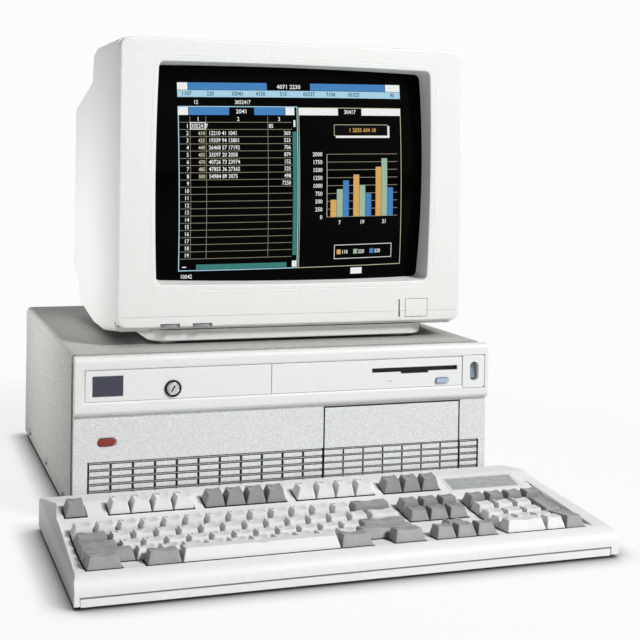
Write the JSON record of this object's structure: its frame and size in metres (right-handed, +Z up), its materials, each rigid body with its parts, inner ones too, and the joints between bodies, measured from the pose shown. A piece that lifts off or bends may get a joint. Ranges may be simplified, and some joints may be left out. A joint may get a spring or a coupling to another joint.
{
  "type": "vintage home computer",
  "caption": "Desktop computer set: system unit with disk slot, lock and louvred front, colour tube monitor on top, and a full-size keyboard in front.",
  "frame": {"origin": "middle of the set's footprint on the table", "axes": "+X to the right, -Y to the front, +Z up"},
  "size_m": [0.4742, 0.641, 0.463],
  "materials": {
    "cover_paint": "textured beige-grey enamel",
    "zinc_steel": "zinc-plated sheet steel",
    "front_plastic": "finely textured moulding",
    "monitor_plastic": "finely textured moulding",
    "keyboard_plastic": "finely textured moulding",
    "light_key": "satin key plastic",
    "dark_key": "satin key plastic",
    "badge_film": "bare dark plate",
    "lock_metal": "plated",
    "red_plastic": "moulded button",
    "rocker_plastic": "moulded rocker",
    "blue_plastic": "moulded button",
    "black_plastic": "moulded",
    "drive_metal": "cast and pressed",
    "green_lens": "translucent lens",
    "rubber_foot": "matt",
    "board_laminate": "glass-fibre board with parts",
    "tube_glass": "dark tinted",
    "copper_winding": "enamelled windings",
    "label_film": "bare plate"
  },
  "bodies": {
    "system_and_monitor": {"chassis_base": "zinc_steel", "drive_cage": "zinc_steel", "case_cover": "cover_paint", "front_bezel": "front_plastic", "left_fascia": "front_plastic", "right_fascia": "front_plastic", "bay_cover": "front_plastic", "badge_plate": "badge_film", "key_lock_body": "lock_metal", "switch_plate": "front_plastic", "floppy_drive": "drive_metal", "drive_light": "green_lens", "case_feet": "rubber_foot", "power_supply": "zinc_steel", "motherboard": "board_laminate", "adapter_card": "board_laminate", "slot_covers": "zinc_steel", "hard_drive": "drive_metal", "speaker": "black_plastic", "case_screws": "zinc_steel", "monitor_bezel": "monitor_plastic", "monitor_shell": "monitor_plastic", "picture_tube": "tube_glass", "deflection_yoke": "copper_winding", "monitor_board": "board_laminate", "monitor_lamp": "green_lens", "monitor_base": "monitor_plastic", "monitor_feet": "rubber_foot", "monitor_inlet": "black_plastic"},
    "keyboard": {"keyboard_top": "keyboard_plastic", "keyboard_bottom": "keyboard_plastic", "key_switches": "black_plastic", "keyboard_board": "board_laminate", "label_plate": "label_film", "keyboard_pads": "rubber_foot"},
    "lock_plug": {"key_lock_plug": "lock_metal"},
    "reset": {"reset_button": "red_plastic"},
    "rocker": {"power_rocker": "rocker_plastic"},
    "disk_flap": {"floppy_flap": "black_plastic"},
    "eject": {"eject_button": "blue_plastic"},
    "fan": {"supply_fan": "black_plastic"},
    "monitor_power": {"monitor_button": "monitor_plastic"},
    "brightness": {"brightness_wheel": "keyboard_plastic"},
    "contrast": {"contrast_wheel": "keyboard_plastic"},
    "left_foot": {"flip_foot_left": "keyboard_plastic"},
    "right_foot": {"flip_foot_right": "keyboard_plastic"},
    "cap_escape": {"key_escape": "dark_key"},
    "caps_function": {"keys_function": "light_key"},
    "caps_system": {"keys_system": "dark_key"},
    "caps_number_row": {"keys_number_row": "light_key"},
    "caps_upper_row": {"keys_upper_row": "light_key"},
    "caps_home_row": {"keys_home_row": "light_key"},
    "cap_enter": {"key_enter": "dark_key"},
    "caps_lower_row": {"keys_lower_row": "light_key"},
    "caps_control": {"keys_control": "dark_key"},
    "cap_space": {"key_space": "light_key"},
    "caps_editing": {"keys_editing": "dark_key"},
    "caps_cursor": {"keys_cursor": "dark_key"},
    "caps_numpad": {"keys_numpad": "light_key"}
  },
  "joints": [
    {"name": "lock_turn", "type": "hinge", "parent": "system_and_monitor", "child": "lock_plug", "pos_m": [-0.1119, -0.0925, 0.1238], "axis": [0, 1, 0], "range_deg": [0, 90]},
    {"name": "reset_press", "type": "slide", "parent": "system_and_monitor", "child": "reset", "axis": [0, 1, 0], "range_m": [0, 0.0025], "stiffness_N_per_m": 400, "springref_m": -0.002},
    {"name": "rocker_tip", "type": "hinge", "parent": "system_and_monitor", "child": "rocker", "pos_m": [0.2054, -0.0815, 0.1277], "axis": [1, 0, 0], "range_deg": [0, 14]},
    {"name": "flap_swing", "type": "hinge", "parent": "system_and_monitor", "child": "disk_flap", "pos_m": [0.13935, -0.0869, 0.1348], "axis": [1, 0, 0], "range_deg": [0, 80], "stiffness_Nm_per_rad": 0.002, "springref_deg": -11.46},
    {"name": "eject_press", "type": "slide", "parent": "system_and_monitor", "child": "eject", "axis": [0, 1, 0], "range_m": [0, 0.006], "stiffness_N_per_m": 300, "springref_m": -0.003},
    {"name": "fan_spin", "type": "hinge", "parent": "system_and_monitor", "child": "fan", "pos_m": [0.1074, 0.2961, 0.0477], "axis": [0, 1, 0], "continuous": true},
    {"name": "monitor_power_press", "type": "slide", "parent": "system_and_monitor", "child": "monitor_power", "axis": [0, 1, 0], "range_m": [0, 0.004], "stiffness_N_per_m": 400, "springref_m": -0.003},
    {"name": "brightness_turn", "type": "hinge", "parent": "system_and_monitor", "child": "brightness", "pos_m": [-0.1035, -0.0265, 0.1747], "axis": [0, 0, 1], "range_deg": [-135, 135]},
    {"name": "contrast_turn", "type": "hinge", "parent": "system_and_monitor", "child": "contrast", "pos_m": [-0.0705, -0.0265, 0.1747], "axis": [0, 0, 1], "range_deg": [-135, 135]},
    {"name": "keyboard_pull", "type": "slide", "parent": "system_and_monitor", "child": "keyboard", "axis": [0, -1, 0], "range_m": [0, 0.15]},
    {"name": "left_foot_fold", "type": "hinge", "parent": "keyboard", "child": "left_foot", "pos_m": [-0.17708, -0.1115, 0.0041], "axis": [1, 0, 0], "range_deg": [0, 80]},
    {"name": "right_foot_fold", "type": "hinge", "parent": "keyboard", "child": "right_foot", "pos_m": [0.17708, -0.1115, 0.0041], "axis": [1, 0, 0], "range_deg": [0, 80]},
    {"name": "escape_press", "type": "slide", "parent": "keyboard", "child": "cap_escape", "axis": [0, 0.2386, -0.9711], "range_m": [0, 0.0038], "stiffness_N_per_m": 300, "springref_m": -0.003},
    {"name": "function_press", "type": "slide", "parent": "keyboard", "child": "caps_function", "axis": [0, 0.2386, -0.9711], "range_m": [0, 0.0038], "stiffness_N_per_m": 300, "springref_m": -0.003},
    {"name": "system_press", "type": "slide", "parent": "keyboard", "child": "caps_system", "axis": [0, 0.2386, -0.9711], "range_m": [0, 0.0038], "stiffness_N_per_m": 300, "springref_m": -0.003},
    {"name": "number_row_press", "type": "slide", "parent": "keyboard", "child": "caps_number_row", "axis": [0, 0.1284, -0.9917], "range_m": [0, 0.0038], "stiffness_N_per_m": 300, "springref_m": -0.003},
    {"name": "upper_row_press", "type": "slide", "parent": "keyboard", "child": "caps_upper_row", "axis": [0, 0.081, -0.9967], "range_m": [0, 0.0038], "stiffness_N_per_m": 300, "springref_m": -0.003},
    {"name": "home_row_press", "type": "slide", "parent": "keyboard", "child": "caps_home_row", "axis": [0, 0.0336, -0.9994], "range_m": [0, 0.0038], "stiffness_N_per_m": 300, "springref_m": -0.003},
    {"name": "enter_press", "type": "slide", "parent": "keyboard", "child": "cap_enter", "axis": [0, 0.0336, -0.9994], "range_m": [0, 0.0038], "stiffness_N_per_m": 300, "springref_m": -0.003},
    {"name": "lower_row_press", "type": "slide", "parent": "keyboard", "child": "caps_lower_row", "axis": [0, -0.0137, -0.9999], "range_m": [0, 0.0038], "stiffness_N_per_m": 300, "springref_m": -0.003},
    {"name": "control_press", "type": "slide", "parent": "keyboard", "child": "caps_control", "axis": [0, -0.0611, -0.9981], "range_m": [0, 0.0038], "stiffness_N_per_m": 300, "springref_m": -0.003},
    {"name": "space_press", "type": "slide", "parent": "keyboard", "child": "cap_space", "axis": [0, -0.0611, -0.9981], "range_m": [0, 0.0038], "stiffness_N_per_m": 300, "springref_m": -0.003},
    {"name": "editing_press", "type": "slide", "parent": "keyboard", "child": "caps_editing", "axis": [0, 0.1047, -0.9945], "range_m": [0, 0.0038], "stiffness_N_per_m": 300, "springref_m": -0.003},
    {"name": "cursor_press", "type": "slide", "parent": "keyboard", "child": "caps_cursor", "axis": [0, -0.0374, -0.9993], "range_m": [0, 0.0038], "stiffness_N_per_m": 300, "springref_m": -0.003},
    {"name": "numpad_press", "type": "slide", "parent": "keyboard", "child": "caps_numpad", "axis": [0, 0.0336, -0.9994], "range_m": [0, 0.0038], "stiffness_N_per_m": 300, "springref_m": -0.003}
  ]
}
